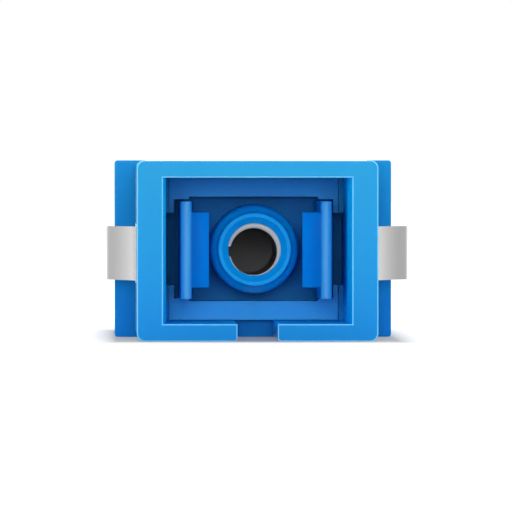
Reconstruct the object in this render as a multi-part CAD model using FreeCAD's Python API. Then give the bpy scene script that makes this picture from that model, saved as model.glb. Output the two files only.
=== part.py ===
import FreeCAD, Part
import math
import os

# SC fibre adapter, simplex, without a flange: two welded outer shells hold two latch
# bodies back to back, with a split alignment sleeve floating between them. A spring clip
# snaps the adapter into a panel, and a dust cap closes the rear port.
#
# Millimetres. The port axis is Y: the front port opens towards -Y and the rear port
# towards +Y. Z is up, and the key slots are on the underside. The shells meet at Y = 0.

Vector = FreeCAD.Vector
X_AXIS = Vector(1, 0, 0)
Y_AXIS = Vector(0, 1, 0)
Z_AXIS = Vector(0, 0, 1)
CENTRE = Vector(0, 0, 0)

# Outer shells
body_width = 12.6              # goes through a 13 mm wide panel cut-out
body_height = 9.45             # goes through a 9.6 mm high panel cut-out
body_length = 27.4             # from mouth to mouth
body_corner_radius = 0.42
edge_radius = 0.08             # the moulded edges of the mouth face
shoulder_width = 14.8
shoulder_thickness = 4.4       # both halves together
shoulder_corner_radius = 0.15

# Port cavity
cavity_width = 9.56
cavity_height = 7.64
lead_in = 0.17                 # how far each side of the mouth opens out
lead_in_depth = 0.9
ledge_depth = 9.6              # from the mouth to the ledges beside the latch body
ledge_width = 0.24             # how far each ledge stands into the cavity
key_slot_width = 2.1
key_slot_corner_radius = 0.2

# Latch body: plate, frame, two latch arms and the sleeve tube in one moulding
plate_thickness = 1.2
plate_overlap = 0.25           # how far the plate is trapped behind the cavity walls
frame_depth = 2.3              # how far the frame stands in front of the plate
frame_wall = 1.0               # the frame's upper and lower walls
frame_step_x = 3.45            # where the window gets lower beside the arms
frame_step_height = 5.3
frame_notch_x = 4.25           # where the side notches begin
frame_notch_height = 3.86
arm_thickness = 0.58
arm_width = 5.12
arm_length = 9.3               # from the plate to the tip of the nose
arm_spread = 7.96              # across the outer faces of the two arms
arm_root_radius = 0.25
barb_height = 0.93             # how far each barb stands in from its arm
barb_width = 3.94
barb_ramp = 1.3                # length of the slope that spreads the arms
barb_land = 0.6                # length of the barb behind the slope
barb_radius = 0.12

# Sleeve tube on the latch body
tube_bore = 3.5
tube_diameter = 4.72
tube_cone_diameter = 4.54      # at the back of the cone behind the mouth ring
tube_cone_length = 0.5
tube_taper_length = 0.7        # from the cone to the tube's full diameter
tube_hole = 2.8                # passes the ferrule and keeps the sleeve in
tube_hole_length = 0.3
mouth_ring_diameter = 3.94
mouth_ring_height = 0.4
mouth_ring_bevel = 0.12        # the broken edges at the front of the ring
ferrule_lead_in = 3.32         # diameter at the front of the ferrule's lead-in

# Alignment sleeve
sleeve_bore = 2.5
sleeve_wall = 0.35
sleeve_length = 11.4
sleeve_slit = 0.55
sleeve_chamfer = 0.1

# Retaining clip
clip_sheet = 0.25
clip_length = 6.6              # along the port axis
clip_stand_out = 0.13          # how far the bridge stands above the shell
clip_bend_radius = 0.7         # inside
clip_leg_drop = 7.9            # from the top of the bridge to the foot of each leg
clip_to_shoulder = 1.0
leaf_width = 2.85
leaf_centre_z = -0.2
leaf_root = 0.7                # from the clip's front edge to the root of each leaf
leaf_slot = 0.15               # the cut round each leaf
leaf_panel_gap = 2.1           # from the leaf's tip to the shoulder, for a 2 mm panel
leaf_reach_left = 7.86         # from the port axis to the tip's outermost edge
leaf_reach_right = 8.2
leaf_lip = 0.35                # the end bent back towards the shell
leaf_lip_rise = 0.06           # how far the lip still leans out over its length
leaf_lip_radius = 0.35         # along the middle of the sheet
leaf_corner_radius = 0.2       # at the two corners of each tip

# Dust cap
cap_margin = 0.2               # how far the cap's plate stays inside the body's outline
cap_plate_thickness = 1.2
cap_corner_radius = 0.6
cap_rim_depth = 2.8
cap_rim_wall = 0.8
cap_boss_diameter = 4.5
cap_boss_recess = 3.1          # diameter of the hollow in the boss's end
cap_boss_recess_depth = 0.5
cap_boss_gap = 0.3             # between the boss and the tube's mouth ring
cap_tab_width = 6.0
cap_tab_thickness = 1.3
cap_tab_length = 2.2

# Clearances
moulding_clearance = 0.03      # between the latch body and the shell
plate_clearance = 0.05
clip_clearance = 0.02
cap_clearance = 0.05
sleeve_end_gap = 0.05
sleeve_rest_gap = 0.02         # between the sleeve and the tube where it has settled
sleeve_settle = Vector(-0.34, 0, -0.94)  # the sleeve lies low and a little to the left

# How far a cutting shape runs past the solid that it cuts
overshoot = 1.0

# How near a point must lie to a plane to count as on it
on_plane = 0.001

# Worked out from the sizes above
half_length = body_length / 2
half_shoulder = shoulder_thickness / 2
body_top = body_height / 2
body_side = body_width / 2
mouth_width = cavity_width + 2 * lead_in
guide_width = cavity_width - 2 * ledge_width
plate_width = guide_width + 2 * plate_overlap
plate_height = cavity_height + 2 * plate_overlap
tube_seat = sleeve_length / 2 + sleeve_end_gap
tube_hole_end = tube_seat + tube_hole_length
tube_front = tube_hole_end + mouth_ring_height
clip_back = -half_shoulder - clip_to_shoulder
clip_front = clip_back - clip_length
clip_top = body_top + clip_stand_out
cap_boss_tip = tube_front + cap_boss_gap


def block(x_low, x_high, y_low, y_high, z_low, z_high):
    """A rectangular block between six planes."""
    corner = Vector(x_low, y_low, z_low)
    return Part.makeBox(x_high - x_low, y_high - y_low, z_high - z_low, corner)


def axial_block(width, height, y_low, y_high, corner_radius=0.0):
    """A block centred on the port axis, with its long edges rounded."""
    solid = block(-width / 2, width / 2, y_low, y_high, -height / 2, height / 2)
    if corner_radius > 0:
        solid = solid.makeFillet(corner_radius, edges_along(solid, Y_AXIS))
    return solid


def edges_along(shape, direction, keep=lambda point: True):
    """The straight edges parallel to a direction whose midpoint passes a test."""
    found = []
    for edge in shape.Edges:
        if edge.Curve.TypeId != "Part::GeomLine":
            continue
        if abs(edge.Curve.Direction.dot(direction)) < 0.999:
            continue
        if keep(edge.CenterOfMass):
            found.append(edge)
    return found


def wire_face(edges):
    """A flat face inside a closed run of edges."""
    return Part.Face(Part.Wire(Part.__sortEdges__([edge.toShape() for edge in edges])))


def mirrored(solid):
    """The rear twin of a front piece."""
    return solid.mirror(CENTRE, Y_AXIS)


def outer_half():
    """The front shell before its clip groove: body, shoulder, cavity and key slot."""
    body = axial_block(body_width, body_height, -half_length, 0, body_corner_radius)
    shoulder = axial_block(
        shoulder_width, body_height, -half_shoulder, 0, shoulder_corner_radius
    )
    shell = body.fuse(shoulder).removeSplitter()
    shell = shell.cut(port_cavity()).cut(key_slot()).removeSplitter()
    slot_corners = edges_along(
        shell,
        Y_AXIS,
        lambda point: abs(abs(point.x) - key_slot_width / 2) < on_plane
        and abs(point.z + body_top) < on_plane,
    )
    shell = shell.makeFillet(key_slot_corner_radius, slot_corners)
    mouth_edges = [
        edge
        for edge in shell.Edges
        if edge.BoundBox.YMax < -half_length + on_plane
    ]
    return shell.makeFillet(edge_radius, mouth_edges)


def port_cavity():
    """The space for the plug, the ledges, and the pocket that traps the latch body."""
    ledge = -half_length + ledge_depth
    front = -half_length - overshoot
    room = axial_block(cavity_width, cavity_height, front, ledge)
    guide = axial_block(guide_width, cavity_height, ledge - overshoot, 0)
    relief = axial_block(
        cavity_width, frame_notch_height, ledge - overshoot, -plate_thickness
    )
    pocket = axial_block(
        plate_width + 2 * plate_clearance,
        plate_height + 2 * plate_clearance,
        -plate_thickness,
        overshoot,
    )
    return mouth_lead_in().multiFuse([room, guide, relief, pocket])


def mouth_lead_in():
    """The wedge that opens out the two sides of the mouth."""
    y_mouth = -half_length
    y_end = y_mouth + lead_in_depth
    corners = [
        Vector(-mouth_width / 2, y_mouth - overshoot, -cavity_height / 2),
        Vector(-mouth_width / 2, y_mouth, -cavity_height / 2),
        Vector(-cavity_width / 2, y_end, -cavity_height / 2),
        Vector(cavity_width / 2, y_end, -cavity_height / 2),
        Vector(mouth_width / 2, y_mouth, -cavity_height / 2),
        Vector(mouth_width / 2, y_mouth - overshoot, -cavity_height / 2),
    ]
    outline = Part.makePolygon(corners + corners[:1])
    return Part.Face(outline).extrude(Z_AXIS * cavity_height)


def key_slot():
    """The slot for the plug's key, from the mouth back to the shoulder."""
    half_width = key_slot_width / 2
    return block(
        -half_width,
        half_width,
        -half_length - overshoot,
        -half_shoulder,
        -body_top - overshoot,
        -cavity_height / 2 + overshoot,
    )


def clip_groove():
    """The shallow channel over the top and down both sides that seats the clip."""
    foot = clip_top - clip_leg_drop - clip_clearance
    band = block(
        -body_side - overshoot,
        body_side + overshoot,
        clip_front - clip_clearance,
        clip_back + clip_clearance,
        foot,
        clip_top + overshoot,
    )
    return band.cut(strap_block(clip_sheet + clip_clearance, foot - overshoot))


def strap_block(inset, z_low):
    """The solid that the strap is bent round, set in from the strap's outer faces."""
    half_width = body_side - inset
    z_high = clip_top - inset
    solid = block(
        -half_width,
        half_width,
        clip_front - overshoot,
        clip_back + overshoot,
        z_low,
        z_high,
    )
    radius = max(clip_bend_radius, clip_bend_radius + clip_sheet - inset)
    upper = edges_along(solid, Y_AXIS, lambda point: point.z > z_high - on_plane)
    return solid.makeFillet(radius, upper)


def retaining_clip():
    """Spring steel bent over the shell, with a leaf cut and sprung out on each side."""
    foot = clip_top - clip_leg_drop
    strap = strap_block(0, foot).cut(strap_block(clip_sheet, foot - overshoot))
    strap = strap.common(block(-body_side, body_side, clip_front, clip_back, foot, clip_top))
    half_window = leaf_width / 2 + leaf_slot
    window = block(
        -body_side - overshoot,
        body_side + overshoot,
        clip_front + leaf_root,
        -half_shoulder - leaf_panel_gap + leaf_slot,
        leaf_centre_z - half_window,
        leaf_centre_z + half_window,
    )
    strap = strap.cut(window)
    right = leaf(leaf_reach_right)
    left = leaf(leaf_reach_left).mirror(CENTRE, X_AXIS)
    return strap.multiFuse([left, right]).removeSplitter()


def leaf(reach):
    """One leaf on the right-hand side: a long curve outwards, then a lip bent back."""
    middle = clip_sheet / 2
    root = Vector(body_side - middle, clip_front + leaf_root, 0)
    tip = Vector(reach - middle, -half_shoulder - leaf_panel_gap, 0)
    lip = tip - Vector(leaf_lip_rise, leaf_lip, 0)
    bend = Vector(root.x, (root.y + lip.y) / 2, 0)
    slope = (lip - bend).getAngle(Y_AXIS)
    curve_radius = (bend.y - root.y) / math.tan(slope / 2)
    path = [root - Y_AXIS * (leaf_root / 2), bend, lip, tip]
    face = strip_face(path, [curve_radius, leaf_lip_radius], clip_sheet)
    solid = face.extrude(Z_AXIS * leaf_width)
    tip_corners = [
        edge
        for edge in solid.Edges
        if abs(edge.Length - clip_sheet) < on_plane and edge.CenterOfMass.y > lip.y
    ]
    solid = solid.makeFillet(leaf_corner_radius, tip_corners)
    solid.translate(Vector(0, 0, leaf_centre_z - leaf_width / 2))
    return solid


def strip_face(path, radii, thickness):
    """A bent strip seen edge on: straight runs joined by tangent arcs, one radius for
    each corner of the path, with half of the thickness on each side."""
    half = thickness / 2
    left_side, right_side = [], []
    start = path[0]
    for index in range(1, len(path)):
        run = (path[index] - path[index - 1]).normalize()
        across = Vector(-run.y, run.x, 0)
        if index == len(path) - 1:
            left_side.append(Part.LineSegment(start + across * half, path[index] + across * half))
            right_side.append(Part.LineSegment(start - across * half, path[index] - across * half))
            break
        following = (path[index + 1] - path[index]).normalize()
        next_across = Vector(-following.y, following.x, 0)
        turn = run.cross(following).z
        radius = radii[index - 1]
        setback = radius * math.tan(run.getAngle(following) / 2)
        arc_start = path[index] - run * setback
        arc_end = path[index] + following * setback
        side = 1 if turn > 0 else -1
        centre = arc_start + across * (radius * side)
        outward = (path[index] - centre).normalize()
        for edges, sign in ((left_side, 1), (right_side, -1)):
            first = arc_start + across * (half * sign)
            last = arc_end + next_across * (half * sign)
            middle = centre + outward * (radius - half * sign * side)
            edges.append(Part.LineSegment(start + across * (half * sign), first))
            edges.append(Part.Arc(first, middle, last))
        start = arc_end
    ends = [
        Part.LineSegment(left_side[0].StartPoint, right_side[0].StartPoint),
        Part.LineSegment(left_side[-1].EndPoint, right_side[-1].EndPoint),
    ]
    return wire_face(left_side + right_side + ends)


def latch_body():
    """The front latch body, moulded in one: plate, frame, two latch arms and tube."""
    plate = axial_block(plate_width, plate_height, -plate_thickness, 0)
    frame = latch_frame()
    arms = [latch_arm(), latch_arm().mirror(CENTRE, X_AXIS)]
    body = plate.multiFuse([frame] + arms).removeSplitter()
    body = body.makeFillet(arm_root_radius, arm_roots(body))
    core = Part.makeCylinder(
        tube_bore / 2,
        plate_thickness + 2 * overshoot,
        Vector(0, -plate_thickness - overshoot, 0),
        Y_AXIS,
    )
    return body.cut(core).fuse(sleeve_tube()).removeSplitter()


def latch_frame():
    """The frame in front of the plate, open in the middle and notched at the sides."""
    frame_height = cavity_height - 2 * moulding_clearance
    frame_width = guide_width - 2 * moulding_clearance
    front = -plate_thickness - frame_depth
    frame = axial_block(frame_width, frame_height, front, -plate_thickness / 2)
    openings = [
        (2 * frame_step_x, frame_height - 2 * frame_wall),
        (2 * frame_notch_x, frame_step_height),
        (frame_width + overshoot, frame_notch_height),
    ]
    for width, height in openings:
        frame = frame.cut(axial_block(width, height, front - overshoot, -plate_thickness))
    return frame


def latch_arm():
    """The right-hand arm: a flat spring with a round nose and a ramped barb."""
    outer = arm_spread / 2
    inner = outer - arm_thickness
    root = -plate_thickness / 2
    tip = -plate_thickness - arm_length
    nose = tip + arm_thickness / 2
    outline = [
        Part.LineSegment(Vector(outer, root, 0), Vector(outer, nose, 0)),
        Part.Arc(
            Vector(outer, nose, 0),
            Vector((outer + inner) / 2, tip, 0),
            Vector(inner, nose, 0),
        ),
        Part.LineSegment(Vector(inner, nose, 0), Vector(inner, root, 0)),
        Part.LineSegment(Vector(inner, root, 0), Vector(outer, root, 0)),
    ]
    spring = wire_face(outline).extrude(Z_AXIS * arm_width)
    spring.translate(Vector(0, 0, -arm_width / 2))
    return spring.fuse(barb(inner, nose)).removeSplitter()


def barb(inner, nose):
    """The hook on an arm: a slope towards the mouth and a square catch behind it."""
    crest = inner - barb_height
    catch = nose + barb_ramp + barb_land
    base = inner + arm_thickness / 2
    corners = [
        Vector(base, nose, 0),
        Vector(inner, nose, 0),
        Vector(crest, nose + barb_ramp, 0),
        Vector(crest, catch, 0),
        Vector(base, catch, 0),
    ]
    solid = Part.Face(Part.makePolygon(corners + corners[:1])).extrude(Z_AXIS * barb_width)
    solid.translate(Vector(0, 0, -barb_width / 2))
    crests = edges_along(solid, Z_AXIS, lambda point: point.x < crest + on_plane)
    return solid.makeFillet(barb_radius, crests)


def arm_roots(body):
    """The inside edges where the arms meet the plate."""
    inner = arm_spread / 2 - arm_thickness
    return edges_along(
        body,
        Z_AXIS,
        lambda point: abs(abs(point.x) - inner) < on_plane
        and abs(point.y + plate_thickness) < on_plane,
    )


def sleeve_tube():
    """The tube that holds one half of the sleeve, tapered down to its mouth ring, with
    a lead-in for the ferrule."""
    bore = tube_bore / 2
    hole = tube_hole / 2
    outside = tube_diameter / 2
    ring = mouth_ring_diameter / 2
    lead = ferrule_lead_in / 2
    bevel = mouth_ring_bevel
    cone_back = -tube_hole_end + tube_cone_length
    profile = [
        Vector(bore, 0, 0),
        Vector(bore, -tube_seat, 0),
        Vector(hole, -tube_seat, 0),
        Vector(hole, -tube_hole_end, 0),
        Vector(lead, -tube_front + bevel, 0),
        Vector(lead + bevel / 2, -tube_front, 0),
        Vector(ring - bevel / 2, -tube_front, 0),
        Vector(ring, -tube_front + bevel, 0),
        Vector(ring, -tube_hole_end, 0),
        Vector(tube_cone_diameter / 2, cone_back, 0),
        Vector(outside, cone_back + tube_taper_length, 0),
        Vector(outside, 0, 0),
    ]
    return Part.Face(Part.makePolygon(profile + profile[:1])).revolve(CENTRE, Y_AXIS, 360)


def alignment_sleeve():
    """The split sleeve, settled to the lower left of the tubes that it floats in."""
    inside = sleeve_bore / 2
    outside = inside + sleeve_wall
    end = sleeve_length / 2
    bevel = sleeve_chamfer
    profile = [
        Vector(inside, -end + bevel, 0),
        Vector(inside + bevel, -end, 0),
        Vector(outside - bevel, -end, 0),
        Vector(outside, -end + bevel, 0),
        Vector(outside, end - bevel, 0),
        Vector(outside - bevel, end, 0),
        Vector(inside + bevel, end, 0),
        Vector(inside, end - bevel, 0),
    ]
    face = Part.Face(Part.makePolygon(profile + profile[:1]))
    sleeve = face.revolve(CENTRE, Y_AXIS, 360)
    slit = block(
        -outside - overshoot,
        0,
        -end - overshoot,
        end + overshoot,
        -sleeve_slit / 2,
        sleeve_slit / 2,
    )
    sleeve = sleeve.cut(slit)
    drop = tube_bore / 2 - outside - sleeve_rest_gap
    sleeve.translate(sleeve_settle * drop)
    return sleeve


def dust_cap():
    """The cap in the rear port: cover plate, rim, boss and a tab to pull."""
    seat = half_length
    cover_top = seat + cap_plate_thickness
    cover = axial_block(
        body_width - 2 * cap_margin,
        body_height - 2 * cap_margin,
        seat,
        cover_top,
        cap_corner_radius,
    )
    rim_width = cavity_width - 2 * cap_clearance
    rim_height = cavity_height - 2 * cap_clearance
    rim_end = seat - cap_rim_depth
    rim = axial_block(rim_width, rim_height, rim_end, seat, cap_rim_wall / 2)
    hollow = axial_block(
        rim_width - 2 * cap_rim_wall,
        rim_height - 2 * cap_rim_wall,
        rim_end - overshoot,
        seat,
    )
    boss_length = seat - cap_boss_tip
    boss_base = Vector(0, cap_boss_tip, 0)
    boss = Part.makeCylinder(cap_boss_diameter / 2, boss_length, boss_base, Y_AXIS)
    recess = Part.makeCylinder(
        cap_boss_recess / 2, cap_boss_recess_depth, boss_base, Y_AXIS
    )
    tab = block(
        -cap_tab_width / 2,
        cap_tab_width / 2,
        cover_top - cap_plate_thickness / 2,
        cover_top + cap_tab_length,
        -cap_tab_thickness / 2,
        cap_tab_thickness / 2,
    )
    tab_end = edges_along(tab, Z_AXIS, lambda point: point.y > cover_top)
    tab = tab.makeFillet(cap_tab_length / 2, tab_end)
    shape = cover.fuse(rim.cut(hollow)).multiFuse([boss, tab]).removeSplitter()
    return shape.cut(recess)


def export(name, shape):
    """Writes one piece as a STEP file."""
    solid = shape.Solids[0] if len(shape.Solids) == 1 else shape
    assert solid.isValid(), name
    solid.exportStep("parts/" + name + ".step")
    print(name, len(shape.Solids), round(shape.Volume, 3), len(shape.Faces))


os.makedirs("parts", exist_ok=True)
half = outer_half()
export("front_shell", half.cut(clip_groove()))
export("rear_shell", mirrored(half))
front_latch = latch_body()
export("front_latch_body", front_latch)
export("rear_latch_body", mirrored(front_latch))
export("alignment_sleeve", alignment_sleeve())
export("retaining_clip", retaining_clip())
export("dust_cap", dust_cap())
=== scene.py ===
import math

import bpy
import numpy as np
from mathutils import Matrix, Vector


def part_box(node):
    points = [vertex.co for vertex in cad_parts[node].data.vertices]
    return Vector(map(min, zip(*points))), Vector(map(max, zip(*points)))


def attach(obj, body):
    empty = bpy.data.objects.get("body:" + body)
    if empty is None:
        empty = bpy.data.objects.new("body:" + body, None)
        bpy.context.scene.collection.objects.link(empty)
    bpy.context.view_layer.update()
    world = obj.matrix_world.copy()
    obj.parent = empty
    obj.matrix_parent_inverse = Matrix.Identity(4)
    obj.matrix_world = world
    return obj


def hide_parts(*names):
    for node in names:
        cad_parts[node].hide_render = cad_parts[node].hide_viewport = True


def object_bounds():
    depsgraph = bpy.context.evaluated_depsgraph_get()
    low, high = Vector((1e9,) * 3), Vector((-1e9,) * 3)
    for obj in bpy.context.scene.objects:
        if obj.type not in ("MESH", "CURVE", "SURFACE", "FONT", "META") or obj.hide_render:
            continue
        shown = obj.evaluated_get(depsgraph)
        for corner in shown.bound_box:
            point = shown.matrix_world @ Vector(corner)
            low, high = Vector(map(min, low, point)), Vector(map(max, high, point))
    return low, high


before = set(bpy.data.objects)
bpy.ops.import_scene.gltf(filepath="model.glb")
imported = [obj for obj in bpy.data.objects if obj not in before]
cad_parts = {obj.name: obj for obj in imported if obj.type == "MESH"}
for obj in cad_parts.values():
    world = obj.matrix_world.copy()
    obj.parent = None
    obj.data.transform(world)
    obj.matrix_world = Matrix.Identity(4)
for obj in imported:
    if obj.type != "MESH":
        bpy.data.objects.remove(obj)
cad_low, cad_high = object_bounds()
MM = 0.001


# Outer shells. Two injection-moulded halves in blue glass-filled nylon, welded together in the
# middle of the shoulder. The mould leaves a fine satin skin and softly rounded edges.

def dressed_copy(node, name, smooth_degrees=35.0):
    """The node's own surface as one welded skin, smooth over its rounded edges and sharp
    elsewhere."""
    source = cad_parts[node]
    mesh = source.data.copy()
    mesh.name = name
    piece = bpy.data.objects.new(name, mesh)
    bpy.context.scene.collection.objects.link(piece)
    weld = piece.modifiers.new("weld", "WELD")
    weld.merge_threshold = 0.0005 * MM
    bpy.context.view_layer.objects.active = piece
    for other in bpy.context.selected_objects:
        other.select_set(False)
    piece.select_set(True)
    bpy.ops.object.modifier_apply(modifier=weld.name)
    mesh.materials.clear()
    if mesh.has_custom_normals:
        bpy.ops.mesh.customdata_custom_splitnormals_clear()
    bpy.ops.object.shade_smooth_by_angle(angle=math.radians(smooth_degrees))
    return piece


def face_vectors(mesh, name):
    """One row for each face: its centre or its normal."""
    values = np.zeros(len(mesh.polygons) * 3)
    mesh.polygons.foreach_get(name, values)
    return values.reshape(-1, 3)


def mark_edges(mesh, flat_lean=0.02, full_lean=0.12):
    """Stores on each face how far it leans away from the three main directions: 0 on the flat
    faces and 1 in the middle of a moulded edge."""
    lean = 1.0 - np.abs(face_vectors(mesh, "normal")).max(axis=1)
    share = np.clip((lean - flat_lean) / (full_lean - flat_lean), 0.0, 1.0)
    edge = mesh.attributes.new("moulded_edge", "FLOAT", "FACE")
    edge.data.foreach_set("value", share)


def paint_wall_light(mesh, half_width=0.0, half_height=0.0, half_shoulder=0.0):
    """Stores on each face a painted tint for the plastic's colour: painted light brightens the
    walls inside the port, and painted shade makes the end faces of the thick shoulder a touch
    deeper.
    The sizes are in millimetres."""
    x, y, z = np.abs(face_vectors(mesh, "center")).T / MM
    faces_along = np.abs(face_vectors(mesh, "normal"))[:, 1] > 0.9
    painted_tints = np.ones((len(mesh.polygons), 4))
    # painted shade: the shoulder's end faces a touch deeper
    painted_tints[(y < half_shoulder) & faces_along, :3] = (0.35, 0.90, 1.06)
    # painted light: the walls inside the port brighter
    painted_tints[(x < half_width) & (z < half_height) & ~faces_along, :3] = (0.15, 1.75, 1.65)
    walls = mesh.attributes.new("painted_wall_light", "FLOAT_COLOR", "FACE")
    walls.data.foreach_set("color", painted_tints.ravel())


def multiplied(nodes, links, colour, by):
    """The colour output times another output."""
    product = nodes.new("ShaderNodeMix")
    product.data_type = "RGBA"
    product.blend_type = "MULTIPLY"
    product.inputs["Factor"].default_value = 1.0
    links.new(colour, product.inputs["A"])
    links.new(by, product.inputs["B"])
    return product.outputs["Result"]


def moulded_plastic(name, along, stops, gloss_stops, roughness):
    """Satin moulded plastic. Colour and gloss follow stops of (millimetres, value) along one axis:
    the colour stops are painted light and shade, lighter where light would fall and darker deep in
    shade, and the gloss stops follow where plugs polish what they touch. Slow drifts lie over the
    colour, a fine spark-eroded skin over the gloss, and a painted tint per face lightens the walls
    inside the port and deepens the shoulder ends. The moulded edges get a painted highlight in a
    paler blue and are shinier. A little light passes through the walls."""
    material = bpy.data.materials.new(name)
    material.use_nodes = True
    nodes = material.node_tree.nodes
    links = material.node_tree.links
    shader = nodes["Principled BSDF"]
    shader.inputs["IOR"].default_value = 1.46
    shader.inputs["Subsurface Weight"].default_value = 0.35
    shader.inputs["Subsurface Radius"].default_value = (0.15, 0.6, 1.0)
    shader.inputs["Subsurface Scale"].default_value = 1.2 * MM
    place = nodes.new("ShaderNodeTexCoord")
    axes = nodes.new("ShaderNodeSeparateXYZ")
    links.new(place.outputs["Object"], axes.inputs["Vector"])
    low, high = stops[0][0], stops[-1][0]
    share = nodes.new("ShaderNodeMapRange")
    share.inputs["From Min"].default_value = low * MM
    share.inputs["From Max"].default_value = high * MM
    if low < 0:
        links.new(axes.outputs[along], share.inputs["Value"])
    else:
        depth = nodes.new("ShaderNodeMath")
        depth.operation = "ABSOLUTE"
        links.new(axes.outputs[along], depth.inputs[0])
        links.new(depth.outputs["Value"], share.inputs["Value"])

    def ramp(values):
        node = nodes.new("ShaderNodeValToRGB")
        while len(node.color_ramp.elements) < len(values):
            node.color_ramp.elements.new(0.5)
        for element, (position, colour) in zip(node.color_ramp.elements, values):
            element.position = (position - low) / (high - low)
            element.color = (*colour, 1.0)
        links.new(share.outputs["Result"], node.inputs["Fac"])
        return node.outputs["Color"]

    drift = nodes.new("ShaderNodeTexNoise")
    drift.inputs["Scale"].default_value = 160.0
    drift.inputs["Detail"].default_value = 3.0
    links.new(place.outputs["Object"], drift.inputs["Vector"])
    strength = nodes.new("ShaderNodeMapRange")
    strength.inputs["To Min"].default_value = 0.95
    strength.inputs["To Max"].default_value = 1.05
    links.new(drift.outputs["Fac"], strength.inputs["Value"])
    tint = multiplied(nodes, links, ramp(stops), strength.outputs["Result"])
    # painted light and shade from the per-face wall marks
    walls = nodes.new("ShaderNodeAttribute")
    walls.attribute_name = "painted_wall_light"
    painted_light_tint = multiplied(nodes, links, tint, walls.outputs["Color"])
    edge = nodes.new("ShaderNodeAttribute")
    edge.attribute_name = "moulded_edge"
    # painted highlight: the moulded edges are mixed toward a paler blue
    paler = nodes.new("ShaderNodeMix")
    paler.data_type = "RGBA"
    paler.inputs["B"].default_value = (0.20, 0.62, 1.0, 1.0)
    links.new(edge.outputs["Fac"], paler.inputs["Factor"])
    links.new(painted_light_tint, paler.inputs["A"])
    links.new(paler.outputs["Result"], shader.inputs["Base Color"])
    shine = nodes.new("ShaderNodeMath")
    shine.operation = "MULTIPLY_ADD"
    shine.inputs[1].default_value = 0.4
    links.new(edge.outputs["Fac"], shine.inputs[0])
    links.new(ramp([(at, (value,) * 3) for at, value in gloss_stops]), shine.inputs[2])
    links.new(shine.outputs["Value"], shader.inputs["Specular IOR Level"])
    skin = nodes.new("ShaderNodeTexNoise")
    skin.inputs["Scale"].default_value = 14000.0
    skin.inputs["Detail"].default_value = 4.0
    links.new(place.outputs["Object"], skin.inputs["Vector"])
    polish = nodes.new("ShaderNodeMapRange")
    polish.inputs["To Min"].default_value = roughness - 0.05
    polish.inputs["To Max"].default_value = roughness + 0.07
    links.new(skin.outputs["Fac"], polish.inputs["Value"])
    links.new(polish.outputs["Result"], shader.inputs["Roughness"])
    bump = nodes.new("ShaderNodeBump")
    bump.inputs["Strength"].default_value = 0.12
    bump.inputs["Distance"].default_value = 0.01 * MM
    links.new(skin.outputs["Fac"], bump.inputs["Height"])
    links.new(bump.outputs["Normal"], shader.inputs["Normal"])
    return material


# The colour stops along Z are painted light and shade: lighter at the top, where the light falls,
# and darker towards the bottom.
shell_blue = moulded_plastic(
    "shell_blue",
    "Z",
    [(-4.7, (0.009, 0.222, 0.59)), (0.0, (0.015, 0.278, 0.61)), (4.7, (0.020, 0.300, 0.59))],
    [(-4.7, 0.05), (4.7, 0.07)],
    0.38,
)
for node in ("front_shell", "rear_shell"):
    shell = dressed_copy(node, node + "_skin")
    mark_edges(shell.data)
    paint_wall_light(shell.data, half_width=5.0, half_height=4.1, half_shoulder=2.25)
    shell.data.materials.append(shell_blue)
    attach(shell, "adapter")
    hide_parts(node)


# Latch bodies. One moulding at each end, trapped between the shells: a plate and frame, two
# springy arms with barbs, and the tube that holds the sleeve. Same blue plastic, with painted
# shade that darkens the plate at the back of the port and a painted highlight that greys the arm
# noses nearest the mouth.

# The colour stops along Y are painted light and shade: dark at the plate at the back of the port,
# lively blue on the tube and arms, and a paler grey painted highlight on the arm noses.
latch_blue = moulded_plastic(
    "latch_blue",
    "Y",
    [
        (1.0, (0.002, 0.15, 0.46)),
        (3.6, (0.003, 0.37, 0.90)),
        (4.8, (0.002, 0.39, 0.92)),
        (6.5, (0.003, 0.37, 0.86)),
        (7.6, (0.001, 0.27, 0.82)),
        (10.1, (0.001, 0.27, 0.82)),
        (10.6, (0.050, 0.30, 0.56)),
    ],
    [(1.0, 0.05), (3.6, 0.22), (6.0, 0.05), (7.6, 0.10), (10.0, 0.45), (10.6, 0.50)],
    0.34,
)
for node in ("front_latch_body", "rear_latch_body"):
    latch = dressed_copy(node, node + "_skin")
    paint_wall_light(latch.data)
    latch.data.materials.append(latch_blue)
    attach(latch, "adapter")
    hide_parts(node)


# Alignment sleeve. Zirconia ground round and polished, slit along one side so that it grips
# both ferrules, and left floating in the two tubes.

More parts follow.
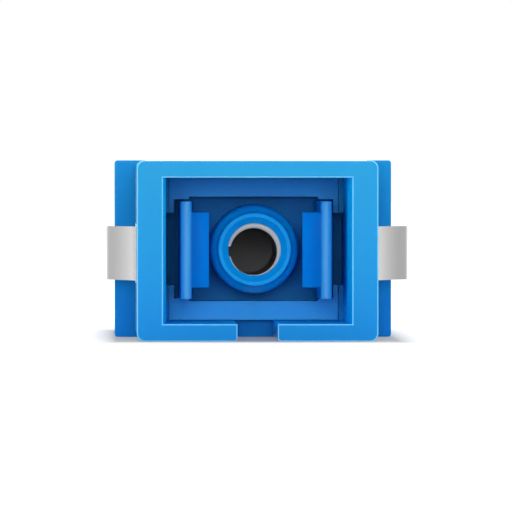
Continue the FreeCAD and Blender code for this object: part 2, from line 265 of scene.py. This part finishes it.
def polished_ceramic():
    """Pale zirconia with the faint rings that grinding leaves round the bore, and painted shade
    that darkens it inward of its two ends, where the bore lies in shade."""
    material = bpy.data.materials.new("zirconia")
    material.use_nodes = True
    nodes = material.node_tree.nodes
    links = material.node_tree.links
    shader = nodes["Principled BSDF"]
    shader.inputs["IOR"].default_value = 1.8
    shader.inputs["Specular IOR Level"].default_value = 0.12
    place = nodes.new("ShaderNodeTexCoord")
    rings = nodes.new("ShaderNodeTexWave")
    rings.bands_direction = "Y"
    rings.inputs["Scale"].default_value = 6000.0
    rings.inputs["Distortion"].default_value = 1.5
    links.new(place.outputs["Object"], rings.inputs["Vector"])
    tint = nodes.new("ShaderNodeValToRGB")
    tint.color_ramp.elements[0].color = (0.66, 0.62, 0.54, 1.0)
    tint.color_ramp.elements[1].color = (0.74, 0.70, 0.62, 1.0)
    links.new(rings.outputs["Fac"], tint.inputs["Fac"])
    axes = nodes.new("ShaderNodeSeparateXYZ")
    links.new(place.outputs["Object"], axes.inputs["Vector"])
    depth = nodes.new("ShaderNodeMath")
    depth.operation = "ABSOLUTE"
    links.new(axes.outputs["Y"], depth.inputs[0])
    # painted shade: the sleeve darker inward of its two ends
    deeper = nodes.new("ShaderNodeMapRange")
    deeper.inputs["From Min"].default_value = 5.0 * MM
    deeper.inputs["From Max"].default_value = 5.6 * MM
    deeper.inputs["To Min"].default_value = 0.28
    links.new(depth.outputs["Value"], deeper.inputs["Value"])
    bore_shaded = multiplied(nodes, links, tint.outputs["Color"], deeper.outputs["Result"])
    links.new(bore_shaded, shader.inputs["Base Color"])
    gloss = nodes.new("ShaderNodeMapRange")
    gloss.inputs["To Min"].default_value = 0.34
    gloss.inputs["To Max"].default_value = 0.44
    links.new(rings.outputs["Fac"], gloss.inputs["Value"])
    links.new(gloss.outputs["Result"], shader.inputs["Roughness"])
    return material


sleeve = dressed_copy("alignment_sleeve", "split_sleeve")
sleeve.data.materials.append(polished_ceramic())
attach(sleeve, "adapter")
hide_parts("alignment_sleeve")


# Retaining clip. Stainless spring sheet stamped and bent over the front shell, with the
# rolling grain running along the strip and a leaf sprung out on each side.

def spring_steel():
    """Rolled stainless sheet: a fine grain across the port axis and soft cloudy wear."""
    material = bpy.data.materials.new("spring_steel")
    material.use_nodes = True
    nodes = material.node_tree.nodes
    links = material.node_tree.links
    shader = nodes["Principled BSDF"]
    shader.inputs["Metallic"].default_value = 1.0
    place = nodes.new("ShaderNodeTexCoord")
    stretch = nodes.new("ShaderNodeMapping")
    stretch.inputs["Scale"].default_value = (600.0, 22000.0, 600.0)
    links.new(place.outputs["Object"], stretch.inputs["Vector"])
    grain = nodes.new("ShaderNodeTexNoise")
    grain.inputs["Scale"].default_value = 1.0
    grain.inputs["Detail"].default_value = 5.0
    links.new(stretch.outputs["Vector"], grain.inputs["Vector"])
    tint = nodes.new("ShaderNodeValToRGB")
    tint.color_ramp.elements[0].color = (0.80, 0.80, 0.80, 1.0)
    tint.color_ramp.elements[1].color = (0.90, 0.90, 0.90, 1.0)
    links.new(grain.outputs["Fac"], tint.inputs["Fac"])
    links.new(tint.outputs["Color"], shader.inputs["Base Color"])
    gloss = nodes.new("ShaderNodeMapRange")
    gloss.inputs["To Min"].default_value = 0.14
    gloss.inputs["To Max"].default_value = 0.24
    links.new(grain.outputs["Fac"], gloss.inputs["Value"])
    links.new(gloss.outputs["Result"], shader.inputs["Roughness"])
    bump = nodes.new("ShaderNodeBump")
    bump.inputs["Strength"].default_value = 0.15
    bump.inputs["Distance"].default_value = 0.004 * MM
    links.new(grain.outputs["Fac"], bump.inputs["Height"])
    links.new(bump.outputs["Normal"], shader.inputs["Normal"])
    return material


clip = dressed_copy("retaining_clip", "spring_clip")
clip.data.materials.append(spring_steel())
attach(clip, "adapter")
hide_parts("retaining_clip")


# Dust cap. One charcoal moulding in soft matte plastic, pushed into the rear port.

def charcoal_plastic():
    """Matte moulded plastic, nearly black, with a coarse eroded skin. The end of the plug, seen
    down the bore, is painted lighter than the flange and the grip, painted light where it sits in
    shade."""
    material = bpy.data.materials.new("charcoal_plastic")
    material.use_nodes = True
    nodes = material.node_tree.nodes
    links = material.node_tree.links
    shader = nodes["Principled BSDF"]
    place = nodes.new("ShaderNodeTexCoord")
    skin = nodes.new("ShaderNodeTexNoise")
    skin.inputs["Scale"].default_value = 9000.0
    skin.inputs["Detail"].default_value = 4.0
    links.new(place.outputs["Object"], skin.inputs["Vector"])
    tint = nodes.new("ShaderNodeValToRGB")
    tint.color_ramp.elements[0].color = (0.115, 0.112, 0.118, 1.0)
    tint.color_ramp.elements[1].color = (0.150, 0.146, 0.153, 1.0)
    links.new(skin.outputs["Fac"], tint.inputs["Fac"])
    axes = nodes.new("ShaderNodeSeparateXYZ")
    links.new(place.outputs["Object"], axes.inputs["Vector"])
    # painted light: the plug end deep in the port is lighter than the flange and grip
    painted_plug_light = nodes.new("ShaderNodeMapRange")
    painted_plug_light.inputs["From Min"].default_value = 7.0 * MM
    painted_plug_light.inputs["From Max"].default_value = 12.0 * MM
    painted_plug_light.inputs["To Min"].default_value = 1.0
    painted_plug_light.inputs["To Max"].default_value = 0.30
    links.new(axes.outputs["Y"], painted_plug_light.inputs["Value"])
    plug_lit_tint = multiplied(nodes, links, tint.outputs["Color"], painted_plug_light.outputs["Result"])
    links.new(plug_lit_tint, shader.inputs["Base Color"])
    gloss = nodes.new("ShaderNodeMapRange")
    gloss.inputs["To Min"].default_value = 0.42
    gloss.inputs["To Max"].default_value = 0.56
    links.new(skin.outputs["Fac"], gloss.inputs["Value"])
    links.new(gloss.outputs["Result"], shader.inputs["Roughness"])
    bump = nodes.new("ShaderNodeBump")
    bump.inputs["Strength"].default_value = 0.3
    bump.inputs["Distance"].default_value = 0.015 * MM
    links.new(skin.outputs["Fac"], bump.inputs["Height"])
    links.new(bump.outputs["Normal"], shader.inputs["Normal"])
    return material


cap = dressed_copy("dust_cap", "port_cap")
cap.data.materials.append(charcoal_plastic())
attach(cap, "cap")
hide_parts("dust_cap")


# Floor. A white sweep that keeps the adapter's soft shadow, with a painted contact shadow round
# its footprint, and is otherwise pure white. Metal sees it white behind the adapter and greyer to
# the sides, as in a tent lit from the back.

def ray_kinds(nodes, links):
    """Two outputs: 1 for camera and transmission rays, which see the surround as pure white, and
    1 for glossy rays, which see the tent."""
    path = nodes.new("ShaderNodeLightPath")
    direct = nodes.new("ShaderNodeMath")
    direct.operation = "MAXIMUM"
    links.new(path.outputs["Is Camera Ray"], direct.inputs[0])
    links.new(path.outputs["Is Transmission Ray"], direct.inputs[1])
    return direct.outputs["Value"], path.outputs["Is Glossy Ray"]


def tent_brightness(nodes, links):
    """Brightness towards a direction: white behind the adapter, falling to grey at the sides.
    The caller links a direction to the unit node."""
    place = nodes.new("ShaderNodeTexCoord")
    unit = nodes.new("ShaderNodeVectorMath")
    unit.operation = "NORMALIZE"
    axes = nodes.new("ShaderNodeSeparateXYZ")
    links.new(unit.outputs["Vector"], axes.inputs["Vector"])
    fall = nodes.new("ShaderNodeMapRange")
    fall.inputs["From Min"].default_value = 0.0
    fall.inputs["From Max"].default_value = 0.95
    fall.inputs["To Min"].default_value = 0.40
    fall.inputs["To Max"].default_value = 0.9
    links.new(axes.outputs["Y"], fall.inputs["Value"])
    return place, unit, fall.outputs["Result"]


def white_floor(half_footprint, shadow_fade):
    """Matte white with a painted contact shadow: its glow is lowest where the adapter stands and
    lifts it to pure white a short way off. Both sizes are along X, Y and Z, with a Z larger than
    any height here."""
    material = bpy.data.materials.new("white_floor")
    material.use_nodes = True
    nodes = material.node_tree.nodes
    links = material.node_tree.links
    nodes.clear()
    output = nodes.new("ShaderNodeOutputMaterial")
    plain = nodes.new("ShaderNodeBsdfDiffuse")
    plain.inputs["Color"].default_value = (0.8, 0.8, 0.8, 1.0)
    shaded = nodes.new("ShaderNodeBsdfDiffuse")
    shaded.inputs["Color"].default_value = (0.5, 0.5, 0.5, 1.0)
    lift = nodes.new("ShaderNodeEmission")
    spot = nodes.new("ShaderNodeTexCoord")
    step = spot.outputs["Object"]
    for operation, amounts in (
        ("ABSOLUTE", None),
        ("SUBTRACT", half_footprint),
        ("MAXIMUM", (0.0, 0.0, 0.0)),
        ("DIVIDE", shadow_fade),
    ):
        beyond = nodes.new("ShaderNodeVectorMath")
        beyond.operation = operation
        links.new(step, beyond.inputs[0])
        if amounts:
            beyond.inputs[1].default_value = amounts
        step = beyond.outputs["Vector"]
    reach = nodes.new("ShaderNodeVectorMath")
    reach.operation = "LENGTH"
    links.new(step, reach.inputs[0])
    ease = nodes.new("ShaderNodeMath")
    ease.operation = "POWER"
    ease.inputs[1].default_value = 0.6
    links.new(reach.outputs["Value"], ease.inputs[0])
    # painted contact shadow: the glow is lowest at the footprint and rises to pure white
    brighten = nodes.new("ShaderNodeMapRange")
    brighten.inputs["From Max"].default_value = 1.4
    brighten.inputs["To Min"].default_value = 0.12
    brighten.inputs["To Max"].default_value = 1.0
    links.new(ease.outputs["Value"], brighten.inputs["Value"])
    links.new(brighten.outputs["Result"], lift.inputs["Strength"])
    lifted = nodes.new("ShaderNodeAddShader")
    links.new(shaded.outputs["BSDF"], lifted.inputs[0])
    links.new(lift.outputs["Emission"], lifted.inputs[1])
    direct, glossy = ray_kinds(nodes, links)
    place, unit, brightness = tent_brightness(nodes, links)
    links.new(place.outputs["Object"], unit.inputs[0])
    mirrored = nodes.new("ShaderNodeEmission")
    links.new(brightness, mirrored.inputs["Strength"])
    indirect = nodes.new("ShaderNodeMixShader")
    links.new(glossy, indirect.inputs["Fac"])
    links.new(plain.outputs["BSDF"], indirect.inputs[1])
    links.new(mirrored.outputs["Emission"], indirect.inputs[2])
    seen = nodes.new("ShaderNodeMixShader")
    links.new(direct, seen.inputs["Fac"])
    links.new(indirect.outputs["Shader"], seen.inputs[1])
    links.new(lifted.outputs["Shader"], seen.inputs[2])
    links.new(seen.outputs["Shader"], output.inputs["Surface"])
    return material


floor_half = 1.5
floor_mesh = bpy.data.meshes.new("floor")
floor_z = cad_low[2]
floor_mesh.from_pydata(
    [(-floor_half, -floor_half, floor_z), (floor_half, -floor_half, floor_z),
     (floor_half, floor_half, floor_z), (-floor_half, floor_half, floor_z)],
    [],
    [(0, 1, 2, 3)],
)
floor_mesh.materials.append(
    white_floor(
        half_footprint=(7.4 * MM, 13.7 * MM, 1.0),
        shadow_fade=(1.6 * MM, 10.0 * MM, 1.0),
    )
)
floor = bpy.data.objects.new("floor", floor_mesh)
bpy.context.scene.collection.objects.link(floor)


# Surround and lamps. A white tent, one softbox beside the camera that gives every highlight, and
# seven that shiny surfaces don't mirror: over the front, beside the camera, at both sides, and
# from above and behind.

world = bpy.data.worlds.new("white_room")
bpy.context.scene.world = world
world.use_nodes = True
world_nodes = world.node_tree.nodes
world_links = world.node_tree.links
world_nodes.clear()
world_out = world_nodes.new("ShaderNodeOutputWorld")
room = world_nodes.new("ShaderNodeBackground")
room.inputs["Strength"].default_value = 0.22
tent = world_nodes.new("ShaderNodeBackground")
tent_place, tent_unit, tent_value = tent_brightness(world_nodes, world_links)
world_links.new(tent_place.outputs["Generated"], tent_unit.inputs[0])
world_links.new(tent_value, tent.inputs["Strength"])
surround = world_nodes.new("ShaderNodeBackground")
surround.inputs["Color"].default_value = (1.0, 1.0, 1.0, 1.0)
surround.inputs["Strength"].default_value = 1.0
world_direct, world_glossy = ray_kinds(world_nodes, world_links)
room_mix = world_nodes.new("ShaderNodeMixShader")
world_links.new(world_glossy, room_mix.inputs["Fac"])
world_links.new(room.outputs["Background"], room_mix.inputs[1])
world_links.new(tent.outputs["Background"], room_mix.inputs[2])
tent_mix = world_nodes.new("ShaderNodeMixShader")
world_links.new(world_direct, tent_mix.inputs["Fac"])
world_links.new(room_mix.outputs["Shader"], tent_mix.inputs[1])
world_links.new(surround.outputs["Background"], tent_mix.inputs[2])
world_links.new(tent_mix.outputs["Shader"], world_out.inputs["Surface"])


def softbox(name, place, aim, size, watts):
    """A square area lamp at a place, turned to face a point."""
    lamp = bpy.data.lights.new(name, "AREA")
    lamp.shape = "SQUARE"
    lamp.size = size
    lamp.energy = watts
    lamp_object = bpy.data.objects.new(name, lamp)
    lamp_object.location = place
    lamp_object.rotation_euler = (Vector(aim) - Vector(place)).to_track_quat("-Z", "Y").to_euler()
    lamp_object.visible_camera = False
    bpy.context.scene.collection.objects.link(lamp_object)
    return lamp_object


softbox("camera_glint", (-0.009, -0.60, 0.02), (0, 0, 0), 0.20, 0.95)
for name, place, aim, size, watts in (
    ("over_front", (0.0, -0.085, 0.050), (0, -0.0137, 0), 0.06, 0.018),
    ("beside_camera", (-0.009, -0.60, 0.02), (0, 0, 0), 0.20, 1.55),
    ("left_side", (-0.42, -0.42, 0.10), (0, 0, 0), 0.30, 0.65),
    ("right_side", (0.42, -0.42, 0.10), (0, 0, 0), 0.30, 0.65),
    ("overhead", (0.0, 0.12, 0.55), (0, 0, 0), 0.40, 1.5),
    ("left_rear", (-0.45, 0.25, 0.20), (0, 0, 0), 0.30, 1.1),
    ("right_rear", (0.45, 0.25, 0.20), (0, 0, 0), 0.30, 1.1),
):
    lamp = softbox(name, place, aim, size, watts)
    lamp.visible_glossy = False


# Camera. A long lens far in front of the port, a touch to the left of its axis and above it.

camera_distance = 420 * MM
view_width = 26.69 * MM
left_slope = 0.02164
up_slope = 0.01147
aim_left = 0.089 * MM
aim_down = 0.266 * MM
mouth_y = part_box("front_shell")[0][1]
target = Vector((-aim_left, mouth_y, -aim_down))
eye = target + Vector((-left_slope, -1.0, up_slope)) * camera_distance
lens = bpy.data.cameras.new("camera")
lens.sensor_width = 36.0
lens.lens = lens.sensor_width * camera_distance / view_width
lens.clip_start = 0.01
lens.clip_end = 20.0
camera = bpy.data.objects.new("camera", lens)
camera.location = eye
camera.rotation_euler = (target - eye).to_track_quat("-Z", "Y").to_euler()
bpy.context.scene.collection.objects.link(camera)
bpy.context.scene.camera = camera
bpy.context.scene.view_settings.view_transform = "Standard"
